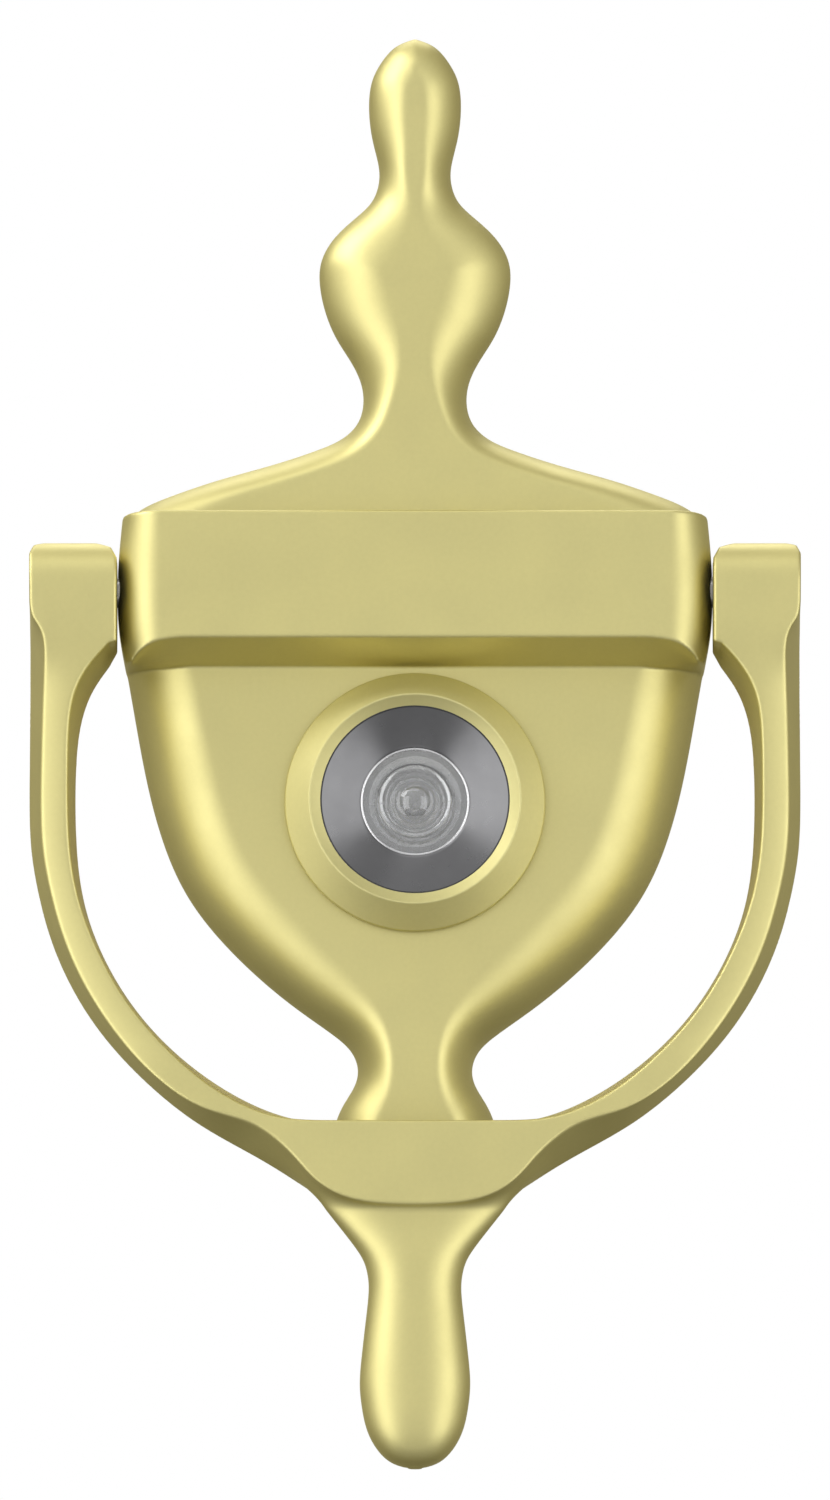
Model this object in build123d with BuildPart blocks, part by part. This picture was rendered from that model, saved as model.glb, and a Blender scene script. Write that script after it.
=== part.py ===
"""Urn door knocker with a door viewer, in millimetres.

The origin is the viewer's axis on the outer face of the door. +Z is up and the front faces -Y,
so a point that stands d in front of the door is at y = -d.
"""
from build123d import *
from math import cos, pi, radians, sin, sqrt
import os

os.makedirs("parts", exist_ok=True)

# ---- driving dimensions ----
DOOR = 44.0  # thickness of the door
FACE = 10.0  # flat face of the urn, in front of the door
RIM = 1.0  # straight rim before the edge starts to round
BACK_RELIEF = 3.0  # cast recess behind the urn
SEAM_Z = 36.0  # finial and urn body meet here, hidden behind the band
FINIAL_FALL = 4.0  # the finial's face leans back this much at its tip
TIP_Z = 102.7
FOOT_Z = -49.5

BAND_TOP = 37.9
BAND_BOTTOM = 18.0
BAND_FLAT = 32.6  # half width of the band's flat front
BAND_FRONT_TOP = 16.0
BAND_FRONT_BOTTOM = 17.0
BAND_LIP = 3.1  # height of the sloping underside
BAND_END_D = 6.0  # depth where the band's ends start to round
BAND_END_STEPS = 6
# the band's cross sections: height, half width, depth of its front
BAND_SECTIONS = [
    (BAND_BOTTOM, 37.8, BAND_FRONT_BOTTOM), (24.0, 38.8, 16.7),
    (31.0, 38.85, 16.35), (BAND_TOP, 38.3, BAND_FRONT_TOP),
]

PIVOT_Z = 27.9
PIVOT_D = 9.5
EAR_RADIUS = 6.5
EAR_INNER = 39.2
ARM_OUTER = 50.5
PIN_RADIUS = 2.0
BUSH_RADIUS = 3.0

EAR_TOP = PIVOT_Z + EAR_RADIUS
EAR_SHOULDER = 19.8  # below this the ear's inner side curves out into the arm
ARM_BACK = 3.0  # depths of the two outlines that the stirrup is drafted between
ARM_FRONT = 20.0
PIN_INNER = 29.0
PIN_OUTER = 50.1
PIN_CHAMFER = 0.3
BUSH_OUTER = 46.5
RUNNING_FIT = 0.05
FLANGE_RADIUS = 4.0
FLANGE_RECESS = 0.6
FLANGE_PROUD = 0.2
DROP_END = -88.2

BARREL_RADIUS = 7.0
BORE_RADIUS = 6.05
BARREL_CLEARANCE = 0.15
BARREL_BOSS = 12.0
BOSS_SHORT = 0.4  # the boss round the barrel stops this far short of the door
BARREL_NECK = 6.6  # the barrel's radius inside the plate, ahead of its thread
BARREL_END = 30.0
RING_RADIUS = 17.05
RIDGE_RADIUS = 13.65
RIDGE_D = 14.4
CUP_RIM_RADIUS = 12.35
CUP_RIM_D = 13.5
LENS_OPENING = 7.05
LENS_SEAT_RADIUS = 7.5
LENS_SEAT_D = 10.4
LENS_FRONT_D = 11.0
LENS_CROWN = 1.2
LENS_HOLLOW_RADIUS = 5.0
LENS_HOLLOW_TIP = -10.9
LENS_BACK = -7.4
GLASS_RADIUS = 6.0
GLASS_CLEARANCE = 0.05
SPACER_BACK = -5.4
SECOND_LENS_TIP = -4.2
SECOND_LENS_SHOULDER = -4.5
SECOND_LENS_BACK = -3.0
RETAINER_BORE = 4.6
RETAINER_BACK = -0.8
RING_EDGE = 0.8
RIDGE_FLAT = 0.25
CUP_WALL = 0.5
CUP_FOOT = 0.2
CUP_LIP = 0.25
INNER_RADIUS = 6.0
INNER_BORE = 4.8
INNER_TIP = 10.0
INNER_FLANGE_RADIUS = 15.0
WASHER_RADIUS = 14.0
WASHER_BORE = 6.3
FLANGE_BACK = DOOR + 0.6
FLANGE_END = FLANGE_BACK + 2.4
FLANGE_CHAMFER = 1.2
COIN_SLOT_X = 11.2
COIN_SLOT_LENGTH = 6.0
COIN_SLOT_WIDTH = 1.8
COIN_SLOT_DEPTH = 1.2
# turned profiles inside the inner barrel, as (radius, y)
EYEPIECE_LENS = [(0, 41.4), (2.5, 41.6), (4.7, 42.4), (4.7, 44.2), (2.5, 44.9), (0, 45.1)]
EYEPIECE_RETAINER = [(3.6, 45.2), (4.75, 44.4), (4.75, 46.8), (3.9, 46.8)]
COVER_PIVOT_Z = 11.4
COVER_START = 47.3
COVER_END = 48.3
COVER_RADIUS = 7.6
COVER_EYE_RADIUS = 3.0
COVER_TAB_RADIUS = 2.6
COVER_TAB_DROP = 8.2
RIVET_RADIUS = 1.25
RIVET_HEAD_RADIUS = 2.4
RIVET_START = FLANGE_BACK + 0.6
RIVET_HEAD_START = COVER_END + 0.15
RIVET_END = COVER_END + 1.0
RIVET_EDGE = 0.6

BOLT_RADIUS = 2.5
UPPER_BOLT_Z = 73.0
LOWER_BOLT_Z = -41.0
THREAD_RADIUS = 2.25  # in the plate's tapped holes
SHANK_GAP = 2.2  # the full shank stops this far short of the door's faces
UPPER_BOLT_DEPTH = 6.0
LOWER_BOLT_DEPTH = 7.0
BOLT_HEAD_RADIUS = 4.5
BOLT_HEAD_START = DOOR + 1.0
BOLT_HEAD_END = DOOR + 3.8
BOLT_WASHER_RADIUS = 7.0
BOLT_WASHER_BORE = 2.7
BOLT_TIP_GAP = 0.5  # left below the bolt's tip in its tapped hole
BOLT_HEAD_EDGE = 1.4
CROSS_LENGTH = 5.0
CROSS_WIDTH = 1.0
CROSS_DEPTH = 1.6
CAP_RADIUS = 8.0
CAP_END = DOOR + 5.6
CAP_EDGE = 3.0
CAP_HOLLOW_RADIUS = 5.4
CAP_HOLLOW_END = DOOR + 4.2
STUD_Z = -46.2
STUD_RADIUS = 3.2
STUD_HEIGHT = 2.9
STUD_EDGE = 0.8
STUD_PLUG_RADIUS = 1.5
STUD_PLUG_BACK = 4.0

# ---- outlines, as (half width, height), each rim point with the flat-face point it rounds into ----
FINIAL_RIM = [
    (0, TIP_Z), (4.5, 99.6), (6.05, 93.6), (4.7, 84.6), (6.9, 79.7), (10.8, 75.8), (12.55, 71.0),
    (10.8, 63.8), (7.2, 57.0), (7.0, 53.0), (11.0, 48.9), (21.5, 45.3), (31.4, 42.0), (37.4, 38.9),
    (38.4, SEAM_Z),
]
FINIAL_FLAT = [
    (0, 98.4), (1.2, 97.0), (1.7, 93.2), (1.3, 84.6), (2.0, 78.2), (3.3, 74.2), (3.8, 70.4),
    (3.4, 64.3), (2.3, 57.4), (2.3, 51.6), (5.6, 44.6), (15.0, 40.6), (24.0, 38.4), (29.6, 37.2),
    (30.4, SEAM_Z),
]
BODY_RIM = [
    (38.4, SEAM_Z), (38.9, 29.0), (38.1, 20.1), (35.2, 4.2), (33.1, -3.7), (29.45, -11.7), (22.9, -19.6),
    (16.0, -25.6), (10.4, -29.8), (7.55, -34.2), (9.6, -39.0), (10.6, -43.5), (7.0, -48.0), (0, FOOT_Z),
]
BODY_FLAT = [
    (30.4, SEAM_Z), (30.6, 28.6), (29.7, 19.4), (27.0, 6.0), (24.9, -1.3), (21.8, -7.6), (16.6, -14.0),
    (11.0, -18.9), (5.4, -25.0), (2.9, -33.0), (3.8, -38.6), (4.6, -42.4), (3.0, -44.8), (0, -45.4),
]
RECESS = [
    (31.5, 32.0), (31.2, 22.0), (28.6, 5.0), (24.8, -6.5), (18.0, -14.8), (8.0, -21.4), (0, -23.8),
]

# the knocker's outlines, from the ears down to the centre line and back up inside the stirrup
OUTER_BACK = [
    (50.5, 24.0), (50.45, 10.0), (50.3, -4.0), (49.07, -13.0), (46.5, -21.0), (42.25, -28.9), (35.7, -36.9),
    (27.4, -43.3), (18.0, -48.8), (9.0, -53.4), (0, -55.6),
]
OUTER_FRONT = [
    (50.0, 24.0), (48.2, 10.0), (47.5, -6.5), (46.2, -14.5), (43.6, -22.0), (39.4, -29.8), (33.0, -37.4),
    (25.3, -42.4), (17.6, -46.2), (9.0, -52.6), (0, -53.9),
]
INNER_BACK = [
    (0, -43.0), (14.5, -42.9), (26.0, -38.2), (34.4, -30.6), (40.0, -22.4), (43.2, -12.8), (44.3, -3.0),
    (44.1, 7.0), (42.7, 14.0), (EAR_INNER, EAR_SHOULDER),
]
INNER_FRONT = [
    (0, -43.0), (15.0, -42.9), (26.4, -38.6), (34.0, -31.6), (40.1, -23.0), (44.2, -12.8), (46.1, -3.0),
    (46.3, 7.0), (44.8, 14.0), (EAR_INNER, EAR_SHOULDER),
]
# the stirrup's back and front seen from the side, as (y, height), from the pivot down
SIDE_BACK = [
    (-3.4, 23.0), (-7.2, 14.0), (-8.2, 2.0), (-8.2, -18.0), (-10.5, -33.0), (-13.0, -42.0), (-13.0, -57.0),
]
SIDE_FRONT = [
    (-15.9, 23.0), (-14.9, 12.0), (-14.6, -3.0), (-16.0, -20.0), (-18.2, -34.0), (-19.4, -43.0),
    (-19.9, -57.0),
]
# the drop handle: height, half width, half depth, depth of its centre
DROP_SECTIONS = [
    (-45.0, 11.4, 2.2, 15.6), (-50.0, 13.2, 2.8, 15.7), (-54.0, 11.6, 3.3, 15.5), (-58.0, 8.8, 4.0, 15.1),
    (-62.0, 6.5, 4.6, 14.7), (-66.0, 6.2, 4.8, 14.5), (-71.0, 6.7, 5.1, 14.4), (-77.0, 7.2, 5.4, 14.4),
    (-82.5, 6.5, 5.0, 14.4), (-86.0, 4.9, 3.9, 14.4), (DROP_END, 2.8, 2.3, 14.4),
]
DROP_ROUND = 1.0

EDGE_ANGLES = (0, 28, 52, 73, 90)  # stations round the quarter ellipse of the edge


def blend(first, second, share):
    """Points a share of the way from one outline to another."""
    return [(a[0] + (b[0] - a[0]) * share, a[1] + (b[1] - a[1]) * share) for a, b in zip(first, second)]


def front_plane(depth, hinge_z=0.0, lean=0.0):
    """A plane facing the front at a depth, leaning back by lean for each millimetre above hinge_z."""
    return Plane(origin=(0, -depth, hinge_z), x_dir=(1, 0, 0), z_dir=(0, -1, lean))


def both_sides(points):
    """An outline that runs down the right side, continued over the centre line to the left side."""
    left = [(-x, z) for x, z in points if x > 0]
    return left[::-1] + points if points[0][0] == 0 else points + left[::-1]


def edge_stations():
    """(depth, share of the way to the flat face) round the plate's rounded edge, from the door."""
    quarter = [radians(angle) for angle in EDGE_ANGLES]
    return [(0.0, 0.0)] + [(RIM + (FACE - RIM) * sin(turn), 1 - cos(turn)) for turn in quarter]


def turned(points):
    """A closed profile of (radius, y) points, turned about the viewer's axis."""
    with BuildSketch(Plane.XY) as profile:
        with BuildLine():
            Polyline(*points, close=True)
        make_face()
    revolve(profile.sketch, axis=Axis.Y)


def band_end(half_width, front):
    """Points round the band's rounded right end, a quarter ellipse from its side to its flat front."""
    turns = [pi / 2 * step / BAND_END_STEPS for step in range(BAND_END_STEPS + 1)]
    across = half_width - BAND_FLAT
    out = front - BAND_END_D
    return [(BAND_FLAT + across * cos(turn), -BAND_END_D - out * sin(turn)) for turn in turns]


def dome_arc(radius, y_rim, rise):
    """A circular arc from a dome's rim to its tip on the viewer's axis."""
    sphere = (radius**2 + rise**2) / (2 * abs(rise))
    y_middle = y_rim + (sqrt(sphere**2 - radius**2 / 4) - sphere) * (1 if rise > 0 else -1) + rise
    return ThreePointArc((radius, y_rim), (radius / 2, y_middle), (0, y_rim + rise))


def back_plane(y, z=0.0):
    """A plane facing the room at a depth, with its centre at a height on the centre line."""
    return Plane(origin=(0, y, z), x_dir=(1, 0, 0), z_dir=(0, 1, 0))


def disc(centre_z, radius, y_start, y_end, mode=Mode.ADD):
    """A round along Y at a height on the centre line."""
    with BuildSketch(back_plane(y_start, centre_z)) as profile:
        Circle(radius)
    extrude(profile.sketch, amount=y_end - y_start, mode=mode)


def cross_pin(radius, x_start, x_end, mode=Mode.ADD):
    """A round along X on the pivot's axis."""
    across = Plane(origin=(x_start, -PIVOT_D, PIVOT_Z), x_dir=(0, 1, 0), z_dir=(1, 0, 0))
    with BuildSketch(across) as profile:
        Circle(radius)
    extrude(profile.sketch, amount=x_end - x_start, mode=mode)


# ---- urn plate ----
with BuildPart() as urn_plate:
    for depth, share in edge_stations():
        with BuildSketch(front_plane(depth)):
            with BuildLine():
                side = Spline(*both_sides(blend(BODY_RIM, BODY_FLAT, share)))
                Line(side @ 1, side @ 0)
            make_face()
    loft()

    for depth, share in edge_stations():
        lean = depth / FACE * FINIAL_FALL / (TIP_Z - SEAM_Z)
        outline = [(x, z - SEAM_Z) for x, z in blend(FINIAL_RIM, FINIAL_FLAT, share)]
        with BuildSketch(front_plane(depth, SEAM_Z, lean)):
            with BuildLine():
                side = Spline(*both_sides(outline))
                Line(side @ 1, side @ 0)
            make_face()
    loft()

    # the band: cross sections with a flat front and elliptical ends, from its bottom to its top
    for height, half_width, front in BAND_SECTIONS:
        with BuildSketch(Plane.XY.offset(height)):
            with BuildLine():
                Polyline(
                    (-half_width, -BAND_END_D), (-half_width, 0), (half_width, 0), (half_width, -BAND_END_D),
                )
                Spline(*band_end(half_width, front))
                Line((BAND_FLAT, -front), (-BAND_FLAT, -front))
                Spline(*[(-x, y) for x, y in band_end(half_width, front)])
            make_face()
    loft()
    with BuildSketch(Plane.YZ.offset(-ARM_OUTER)):
        with BuildLine():
            Polyline(
                (-FACE, BAND_BOTTOM), (-BAND_FRONT_BOTTOM, BAND_BOTTOM + BAND_LIP),
                (-BAND_FRONT_BOTTOM - 1, BAND_BOTTOM + BAND_LIP), (-BAND_FRONT_BOTTOM - 1, BAND_BOTTOM - 1),
                (-FACE, BAND_BOTTOM - 1), close=True,
            )
        make_face()
    extrude(amount=2 * ARM_OUTER, mode=Mode.SUBTRACT)

    # cast recess behind the urn, with a boss left round the viewer's barrel
    with BuildSketch(Plane.XZ):
        with BuildLine():
            side = Spline(*both_sides(RECESS))
            Line(side @ 1, side @ 0)
        make_face()
        Circle(BARREL_BOSS, mode=Mode.SUBTRACT)
    extrude(amount=BACK_RELIEF, mode=Mode.SUBTRACT)
    disc(0, BARREL_BOSS, -BOSS_SHORT, 1, Mode.SUBTRACT)

    # bored for the viewer, tapped for the two bolts, drilled for the strike stud and the pivot pins
    disc(0, BARREL_RADIUS + BARREL_CLEARANCE, -FACE - 1, 1, Mode.SUBTRACT)
    disc(UPPER_BOLT_Z, THREAD_RADIUS, -UPPER_BOLT_DEPTH, 1, Mode.SUBTRACT)
    disc(LOWER_BOLT_Z, THREAD_RADIUS, -LOWER_BOLT_DEPTH, 1, Mode.SUBTRACT)
    disc(STUD_Z, STUD_PLUG_RADIUS, -FACE - 1, -STUD_PLUG_BACK, Mode.SUBTRACT)
    for side in (1, -1):
        cross_pin(PIN_RADIUS, side * PIN_INNER, side * ARM_OUTER, Mode.SUBTRACT)
    urn_plate.part.label = "urn_plate"
export_step(urn_plate.part, "parts/urn_plate.step")

with BuildPart() as strike_stud:
    disc(STUD_Z, STUD_RADIUS, -FACE - STUD_HEIGHT, -FACE)
    front_rim = strike_stud.edges().filter_by(GeomType.CIRCLE).group_by(Axis.Y)[0]
    fillet(front_rim, radius=STUD_EDGE)
    disc(STUD_Z, STUD_PLUG_RADIUS, -FACE, -STUD_PLUG_BACK)
    strike_stud.part.label = "strike_stud"
export_step(strike_stud.part, "parts/strike_stud.step")

# ---- knocker ----
with BuildPart() as knocker:
    # one side of the stirrup, drafted from its back outline to its front outline
    for depth, outer, inner in ((ARM_BACK, OUTER_BACK, INNER_BACK), (ARM_FRONT, OUTER_FRONT, INNER_FRONT)):
        with BuildSketch(front_plane(depth)):
            with BuildLine():
                Polyline((EAR_INNER, EAR_SHOULDER), (EAR_INNER, EAR_TOP), (ARM_OUTER, EAR_TOP), outer[0])
                Spline(*outer)
                Line(outer[-1], inner[0])
                Spline(*inner)
            make_face()
    loft(ruled=True)

    # its thickness, seen from the side: the ear's round top, the slim arm and the deeper thumb plate
    with BuildSketch(Plane.YZ):
        with BuildLine():
            top = ThreePointArc(
                (-PIVOT_D - EAR_RADIUS, PIVOT_Z), (-PIVOT_D, EAR_TOP), (-PIVOT_D + EAR_RADIUS, PIVOT_Z),
            )
            back = Spline(top @ 1, *SIDE_BACK)
            front = Spline(top @ 0, *SIDE_FRONT)
            Line(back @ 1, front @ 1)
        make_face()
    extrude(amount=ARM_OUTER + 1, mode=Mode.INTERSECT)
    mirror(about=Plane.YZ)

    # the drop handle: a flat flare below the thumb plate, a round neck and a flattened bulb
    for height, half_width, half_depth, centre_d in DROP_SECTIONS:
        with BuildSketch(Plane.XY.offset(height)):
            with Locations((0, -centre_d)):
                Ellipse(half_width, half_depth)
    loft()
    end_rim = knocker.edges().group_by(Axis.Z)[0]
    fillet(end_rim, radius=DROP_ROUND)

    # the ears are bored for the bushes, and the pins pass on to the outside
    for side in (1, -1):
        cross_pin(FLANGE_RADIUS, side * EAR_INNER, side * (EAR_INNER + FLANGE_RECESS), Mode.SUBTRACT)
        cross_pin(BUSH_RADIUS, side * EAR_INNER, side * BUSH_OUTER, Mode.SUBTRACT)
        cross_pin(PIN_RADIUS + RUNNING_FIT, side * EAR_INNER, side * (ARM_OUTER + 1), Mode.SUBTRACT)
    knocker.part.label = "knocker"
export_step(knocker.part, "parts/knocker.step")

# ---- pivot pins and bushes, one of each on each side ----
for name, side in (("right", 1), ("left", -1)):
    with BuildPart() as pivot_pin:
        cross_pin(PIN_RADIUS, side * PIN_INNER, side * PIN_OUTER)
        chamfer(pivot_pin.edges().filter_by(GeomType.CIRCLE), length=PIN_CHAMFER)
        pivot_pin.part.label = "pivot_pin_" + name
    export_step(pivot_pin.part, "parts/pivot_pin_" + name + ".step")

    with BuildPart() as pivot_bush:
        cross_pin(FLANGE_RADIUS, side * (EAR_INNER - FLANGE_PROUD), side * (EAR_INNER + FLANGE_RECESS))
        cross_pin(BUSH_RADIUS, side * (EAR_INNER + FLANGE_RECESS), side * BUSH_OUTER)
        cross_pin(PIN_RADIUS + RUNNING_FIT, side * (EAR_INNER - 1), side * ARM_OUTER, Mode.SUBTRACT)
        pivot_bush.part.label = "pivot_bush_" + name
    export_step(pivot_bush.part, "parts/pivot_bush_" + name + ".step")

# ---- viewer: outer half, with its ring, cup and lenses ----
with BuildPart() as viewer_outer_barrel:
    turned([
        (BORE_RADIUS, BARREL_END), (BARREL_RADIUS, BARREL_END), (BARREL_RADIUS, 0), (BARREL_NECK, 0),
        (BARREL_NECK, -FACE), (RING_RADIUS, -FACE),
        (RING_RADIUS, -FACE - RING_EDGE), (RIDGE_RADIUS + RIDGE_FLAT, -RIDGE_D), (RIDGE_RADIUS, -RIDGE_D),
        (CUP_RIM_RADIUS, -CUP_RIM_D), (CUP_RIM_RADIUS, -CUP_RIM_D + CUP_WALL),
        (LENS_SEAT_RADIUS + CUP_FOOT, -LENS_FRONT_D), (LENS_SEAT_RADIUS, -LENS_FRONT_D),
        (LENS_SEAT_RADIUS, -LENS_SEAT_D), (BORE_RADIUS, -LENS_SEAT_D),
    ])
    viewer_outer_barrel.part.label = "viewer_outer_barrel"
export_step(viewer_outer_barrel.part, "parts/viewer_outer_barrel.step")

with BuildPart() as lens_cup:
    turned([
        (LENS_OPENING, -LENS_FRONT_D), (LENS_SEAT_RADIUS + CUP_FOOT, -LENS_FRONT_D),
        (CUP_RIM_RADIUS, -CUP_RIM_D + CUP_WALL), (CUP_RIM_RADIUS, -CUP_RIM_D),
        (LENS_OPENING, -LENS_FRONT_D - CUP_LIP),
    ])
    lens_cup.part.label = "lens_cup"
export_step(lens_cup.part, "parts/lens_cup.step")

with BuildPart() as front_lens:
    with BuildSketch(Plane.XY):
        with BuildLine():
            front = dome_arc(LENS_OPENING, -LENS_FRONT_D, -LENS_CROWN)
            back = dome_arc(LENS_HOLLOW_RADIUS, LENS_BACK, LENS_HOLLOW_TIP - LENS_BACK)
            Line(front @ 1, back @ 1)
            Polyline(
                front @ 0, (LENS_SEAT_RADIUS - GLASS_CLEARANCE, -LENS_FRONT_D),
                (LENS_SEAT_RADIUS - GLASS_CLEARANCE, -LENS_SEAT_D), (GLASS_RADIUS, -LENS_SEAT_D),
                (GLASS_RADIUS, LENS_BACK), back @ 0,
            )
        make_face()
    revolve(axis=Axis.Y)
    front_lens.part.label = "front_lens"
export_step(front_lens.part, "parts/front_lens.step")

with BuildPart() as lens_spacer:
    turned([
        (LENS_HOLLOW_RADIUS, LENS_BACK), (GLASS_RADIUS, LENS_BACK),
        (GLASS_RADIUS, SPACER_BACK), (LENS_HOLLOW_RADIUS, SPACER_BACK),
    ])
    lens_spacer.part.label = "lens_spacer"
export_step(lens_spacer.part, "parts/lens_spacer.step")

with BuildPart() as second_lens:
    turned([
        (0, SECOND_LENS_TIP), (GLASS_RADIUS / 2, SECOND_LENS_SHOULDER), (LENS_HOLLOW_RADIUS, SPACER_BACK),
        (GLASS_RADIUS, SPACER_BACK), (GLASS_RADIUS, SECOND_LENS_BACK), (0, SECOND_LENS_BACK),
    ])
    second_lens.part.label = "second_lens"
export_step(second_lens.part, "parts/second_lens.step")

with BuildPart() as lens_retainer:
    turned([
        (RETAINER_BORE, SECOND_LENS_BACK), (GLASS_RADIUS, SECOND_LENS_BACK),
        (GLASS_RADIUS, RETAINER_BACK), (RETAINER_BORE, RETAINER_BACK),
    ])
    lens_retainer.part.label = "lens_retainer"
export_step(lens_retainer.part, "parts/lens_retainer.step")

# ---- viewer: inner half, screwed into the outer one from inside the room ----
with BuildPart() as inner_washer:
    turned([
        (WASHER_BORE, DOOR), (WASHER_RADIUS, DOOR), (WASHER_RADIUS, FLANGE_BACK), (WASHER_BORE, FLANGE_BACK),
    ])
    inner_washer.part.label = "inner_washer"
export_step(inner_washer.part, "parts/inner_washer.step")

with BuildPart() as viewer_inner_barrel:
    turned([
        (INNER_BORE, INNER_TIP), (INNER_RADIUS, INNER_TIP), (INNER_RADIUS, FLANGE_BACK),
        (INNER_FLANGE_RADIUS, FLANGE_BACK), (INNER_FLANGE_RADIUS, FLANGE_END - FLANGE_CHAMFER),
        (INNER_FLANGE_RADIUS - FLANGE_CHAMFER, FLANGE_END), (INNER_BORE, FLANGE_END),
    ])
    # two coin slots across the flange, and the hole that the cover's rivet is set in
    with BuildSketch(back_plane(FLANGE_END)):
        with Locations((COIN_SLOT_X, 0), (-COIN_SLOT_X, 0)):
            Rectangle(COIN_SLOT_LENGTH, COIN_SLOT_WIDTH)
    extrude(amount=-COIN_SLOT_DEPTH, mode=Mode.SUBTRACT)
    disc(COVER_PIVOT_Z, RIVET_RADIUS, RIVET_START, FLANGE_END + 1, Mode.SUBTRACT)
    viewer_inner_barrel.part.label = "viewer_inner_barrel"
export_step(viewer_inner_barrel.part, "parts/viewer_inner_barrel.step")

with BuildPart() as eyepiece_lens:
    turned(EYEPIECE_LENS)
    eyepiece_lens.part.label = "eyepiece_lens"
export_step(eyepiece_lens.part, "parts/eyepiece_lens.step")

with BuildPart() as eyepiece_retainer:
    turned(EYEPIECE_RETAINER)
    eyepiece_retainer.part.label = "eyepiece_retainer"
export_step(eyepiece_retainer.part, "parts/eyepiece_retainer.step")

with BuildPart() as cover_rivet:
    disc(COVER_PIVOT_Z, RIVET_RADIUS, RIVET_START, RIVET_HEAD_START)
    disc(COVER_PIVOT_Z, RIVET_HEAD_RADIUS, RIVET_HEAD_START, RIVET_END)
    back_rim = cover_rivet.edges().filter_by(GeomType.CIRCLE).sort_by(Axis.Y)[-1]
    fillet(back_rim, radius=RIVET_EDGE)
    cover_rivet.part.label = "cover_rivet"
export_step(cover_rivet.part, "parts/cover_rivet.step")

with BuildPart() as privacy_cover:
    with BuildSketch(back_plane(COVER_START)):
        with Locations((0, -COVER_PIVOT_Z)):
            Circle(COVER_EYE_RADIUS)
        Circle(COVER_RADIUS)
        make_hull()
        with Locations((0, COVER_TAB_DROP)):
            Circle(COVER_TAB_RADIUS)
    extrude(amount=COVER_END - COVER_START)
    disc(COVER_PIVOT_Z, RIVET_RADIUS + RUNNING_FIT, COVER_START - 1, COVER_END + 1, Mode.SUBTRACT)
    privacy_cover.part.label = "privacy_cover"
export_step(privacy_cover.part, "parts/privacy_cover.step")

# ---- the two bolts that hold the plate, from inside the room, each with its washer and cap ----
BOLTS = (("upper", UPPER_BOLT_Z, UPPER_BOLT_DEPTH), ("lower", LOWER_BOLT_Z, LOWER_BOLT_DEPTH))
for name, bolt_z, depth in BOLTS:
    with BuildPart() as fixing_bolt:
        disc(bolt_z, THREAD_RADIUS, BOLT_TIP_GAP - depth, BOLT_HEAD_START)
        disc(bolt_z, BOLT_RADIUS, SHANK_GAP, DOOR - SHANK_GAP)
        disc(bolt_z, BOLT_HEAD_RADIUS, BOLT_HEAD_START, BOLT_HEAD_END)
        back_rim = fixing_bolt.edges().filter_by(GeomType.CIRCLE).sort_by(Axis.Y)[-1]
        fillet(back_rim, radius=BOLT_HEAD_EDGE)
        with BuildSketch(back_plane(BOLT_HEAD_END, bolt_z)):
            Rectangle(CROSS_LENGTH, CROSS_WIDTH)
            Rectangle(CROSS_WIDTH, CROSS_LENGTH)
        extrude(amount=-CROSS_DEPTH, mode=Mode.SUBTRACT)
        fixing_bolt.part.label = name + "_fixing_bolt"
    export_step(fixing_bolt.part, "parts/" + name + "_fixing_bolt.step")

    with BuildPart() as bolt_washer:
        disc(bolt_z, BOLT_WASHER_RADIUS, DOOR, BOLT_HEAD_START)
        disc(bolt_z, BOLT_WASHER_BORE, DOOR - 1, BOLT_HEAD_START + 1, Mode.SUBTRACT)
        bolt_washer.part.label = name + "_bolt_washer"
    export_step(bolt_washer.part, "parts/" + name + "_bolt_washer.step")

    with BuildPart() as bolt_cap:
        disc(bolt_z, CAP_RADIUS, DOOR, CAP_END)
        back_rim = bolt_cap.edges().filter_by(GeomType.CIRCLE).sort_by(Axis.Y)[-1]
        fillet(back_rim, radius=CAP_EDGE)
        disc(bolt_z, BOLT_WASHER_RADIUS, DOOR - 1, BOLT_HEAD_START, Mode.SUBTRACT)
        disc(bolt_z, CAP_HOLLOW_RADIUS, DOOR, CAP_HOLLOW_END, Mode.SUBTRACT)
        bolt_cap.part.label = name + "_bolt_cap"
    export_step(bolt_cap.part, "parts/" + name + "_bolt_cap.step")
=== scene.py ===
"""The looks of the urn door knocker with its door viewer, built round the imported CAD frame."""

from math import asin, cos, pi, radians, sin

import bmesh
import bpy
import numpy as np
import openvdb
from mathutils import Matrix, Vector


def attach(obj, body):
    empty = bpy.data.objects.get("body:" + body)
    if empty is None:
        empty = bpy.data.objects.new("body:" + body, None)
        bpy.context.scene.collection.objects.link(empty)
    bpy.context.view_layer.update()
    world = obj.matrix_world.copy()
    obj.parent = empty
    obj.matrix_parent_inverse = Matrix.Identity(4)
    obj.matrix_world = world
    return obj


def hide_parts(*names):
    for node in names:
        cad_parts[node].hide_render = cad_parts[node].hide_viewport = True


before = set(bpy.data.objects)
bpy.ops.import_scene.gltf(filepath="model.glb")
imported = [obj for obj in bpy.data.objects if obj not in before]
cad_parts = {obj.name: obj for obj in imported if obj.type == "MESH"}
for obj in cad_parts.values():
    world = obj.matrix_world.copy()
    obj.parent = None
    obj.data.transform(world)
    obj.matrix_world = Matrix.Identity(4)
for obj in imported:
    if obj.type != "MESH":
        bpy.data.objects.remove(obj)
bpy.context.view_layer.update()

MM = 0.001

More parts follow.
